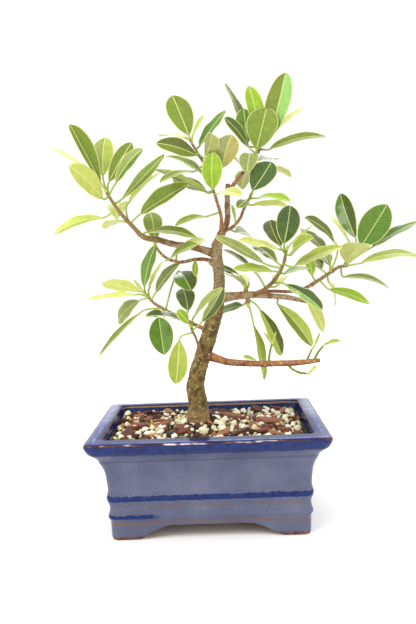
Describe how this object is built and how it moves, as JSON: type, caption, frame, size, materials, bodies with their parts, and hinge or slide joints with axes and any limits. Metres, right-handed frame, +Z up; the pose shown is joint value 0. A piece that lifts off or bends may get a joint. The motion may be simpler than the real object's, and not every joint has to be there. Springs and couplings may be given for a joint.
{
  "type": "bonsai tree in a pot",
  "caption": "Small ornamental fig tree with a curved trunk, thin branches and leathery leaves, rooted in a gritty mix in a rectangular footed glazed pot.",
  "frame": {"origin": "the middle of the whole object's box, on the surface that the pot's feet stand on", "axes": "+Z up; -Y is the front, the side with the long wall of the pot and the best view of the trunk; +X to the right seen from the front"},
  "size_m": [0.265, 0.1264, 0.3131],
  "materials": {
    "pot_glaze": "glossy dark blue to slate-violet glaze, brown where it breaks over edges, unglazed brown clay under the feet",
    "potting_mix": "loose matte mix of bark chips, white perlite, pale grit and dark humus",
    "drain_mesh": "matte black plastic mesh",
    "bark": "rough olive-brown bark with pale dots and cross wrinkles",
    "twig": "smooth to slightly rough orange-brown young bark",
    "leaf": "leathery, satin-glossy mid to olive green with pale yellow margins and midrib",
    "young_leaf": "satin bright yellow-green"
  },
  "bodies": {
    "root": {"pot": "pot_glaze", "soil": "potting_mix", "drain_screen_left": "drain_mesh", "drain_screen_right": "drain_mesh", "trunk": "bark", "leader": "bark", "branch_left": "bark", "branch_left_low": "twig", "branch_right": "bark", "branch_right_far": "twig", "branch_right_up": "twig", "branch_bare": "twig", "branch_low_left": "twig", "twig_trunk_front": "twig", "twig_crown_left": "twig", "twig_crown_right": "twig", "twig_inner_right": "twig", "shoot_left_middle": "leaf", "shoot_left_end": "leaf", "shoot_left_low": "leaf", "leaf_left_low_young": "young_leaf", "leaf_left_low_back": "leaf", "leaf_crown_left_low": "leaf", "shoot_crown_left_low": "leaf", "shoot_crown_left_top": "leaf", "shoot_crown_right_low": "leaf", "shoot_crown_right_top": "leaf", "leaf_trunk_right": "leaf", "leaf_inner_right": "young_leaf", "shoot_inner_right": "leaf", "shoot_right_up_low": "leaf", "shoot_right_up_middle": "leaf", "shoot_right_up_top": "leaf", "shoot_right_inner_top": "leaf", "shoot_right_inner_low": "leaf", "leaf_right_outer": "leaf", "leaf_far_right_low": "leaf", "shoot_far_right_inner": "leaf", "shoot_far_right_end": "leaf", "leaf_bare_inner": "young_leaf", "shoot_bare_middle": "young_leaf", "shoot_bare_under": "young_leaf", "shoot_bare_outer": "young_leaf", "shoot_bare_end": "young_leaf", "shoot_low_left_middle": "leaf", "shoot_low_left_end": "leaf", "shoot_trunk_front": "leaf"}
  },
  "joints": []
}
